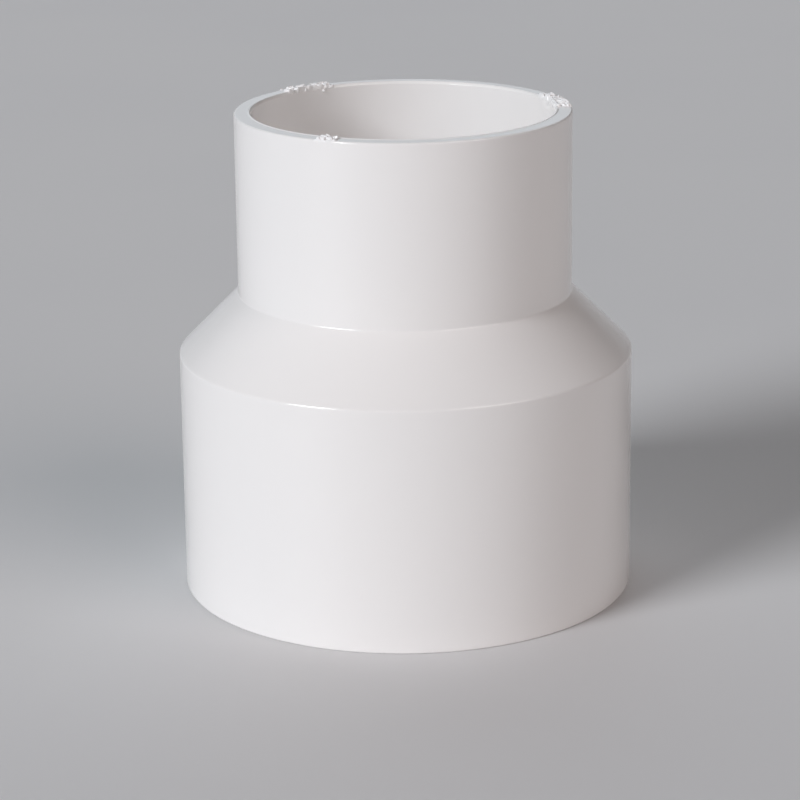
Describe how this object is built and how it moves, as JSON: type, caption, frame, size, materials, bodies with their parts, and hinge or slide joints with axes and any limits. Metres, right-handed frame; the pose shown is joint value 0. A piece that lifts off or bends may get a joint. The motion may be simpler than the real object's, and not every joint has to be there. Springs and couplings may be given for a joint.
{
  "type": "concentric pipe reducer",
  "caption": "White PVC-U solvent-cement reducer with a large socket below, a short 45-degree cone and a small socket above, moulded in one piece on one axis.",
  "frame": {"origin": "centre of the large socket's mouth, in the plane that the fitting stands on", "axes": "+Z along the common axis, from the large mouth to the small one; the first gate scar on the small rim lies 12 degrees from +X towards +Y"},
  "size_m": [0.1378, 0.1378, 0.1465],
  "materials": {
    "pvc_white": "white moulded PVC-U, satin gloss"
  },
  "bodies": {
    "root": {"reducer_body": "pvc_white"}
  },
  "joints": []
}
